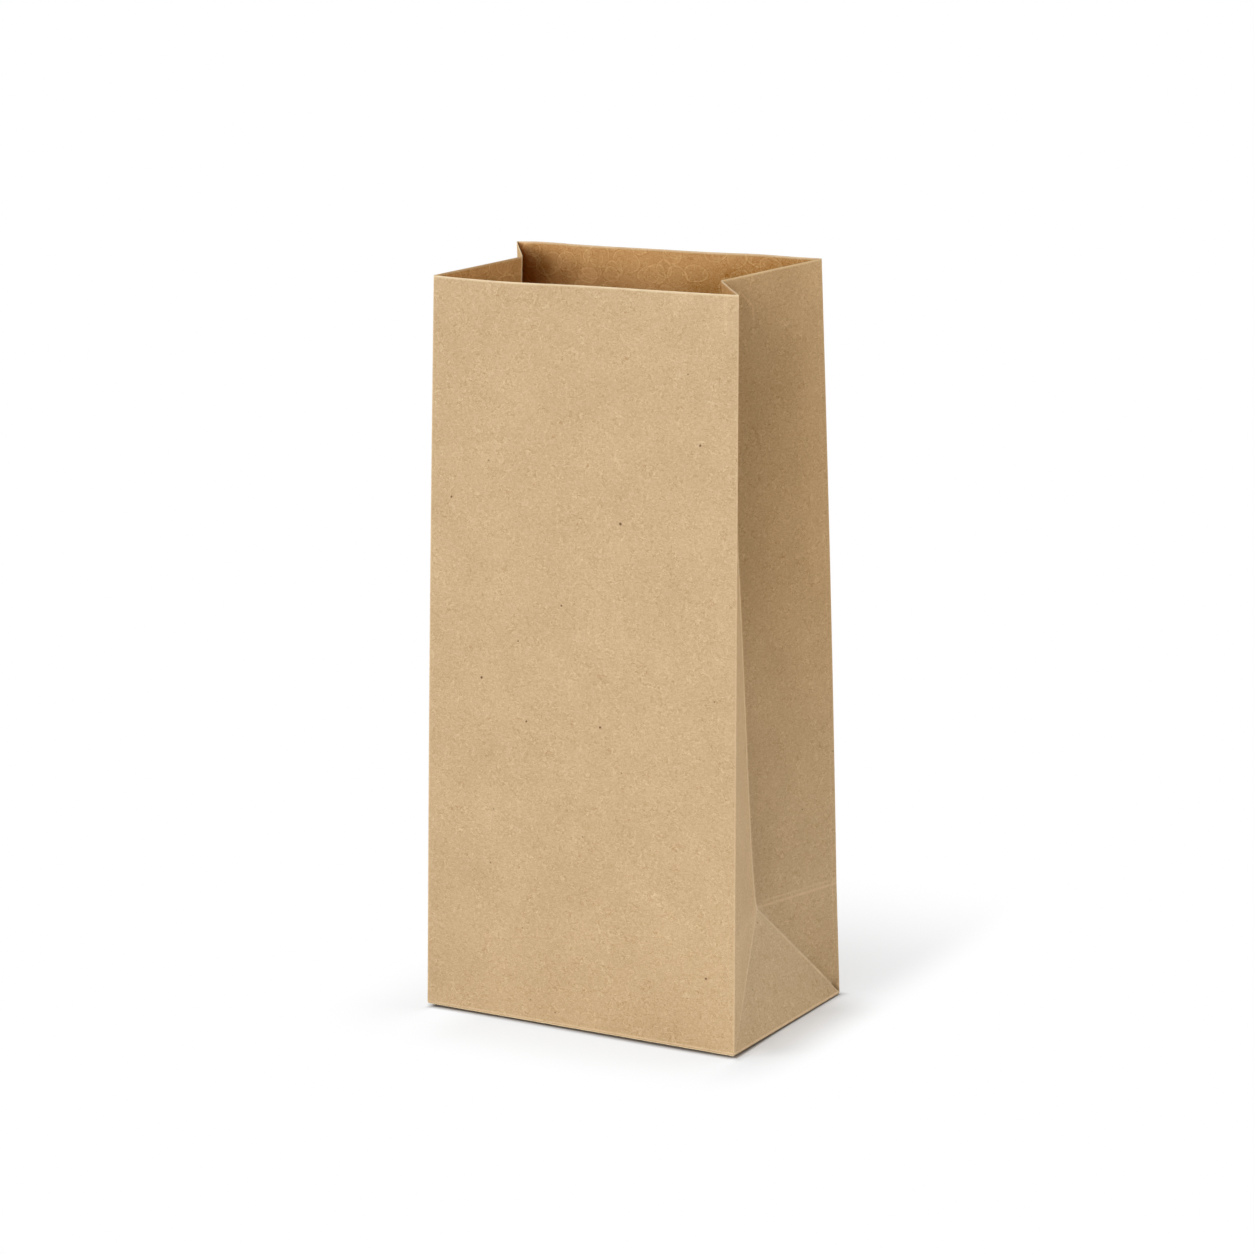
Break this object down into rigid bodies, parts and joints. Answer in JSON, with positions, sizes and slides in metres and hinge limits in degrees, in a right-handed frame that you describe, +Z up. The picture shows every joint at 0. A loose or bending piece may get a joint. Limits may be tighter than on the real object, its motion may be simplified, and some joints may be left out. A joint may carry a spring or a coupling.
{
  "type": "paper bag",
  "caption": "Plain kraft paper bag, standing open, with a folded block bottom and side walls tucked in along their middle creases.",
  "frame": {"origin": "middle of the base, on the surface that the bag stands on", "axes": "+Z up through the open mouth, -Y out of the front wall, +X towards the bag's right side seen from the front"},
  "size_m": [0.1272, 0.0802, 0.2584],
  "materials": {
    "kraft_paper": "unprinted brown kraft, matt, with fine fibres and a few dark specks"
  },
  "bodies": {
    "root": {"paper_bag": "kraft_paper"}
  },
  "joints": []
}
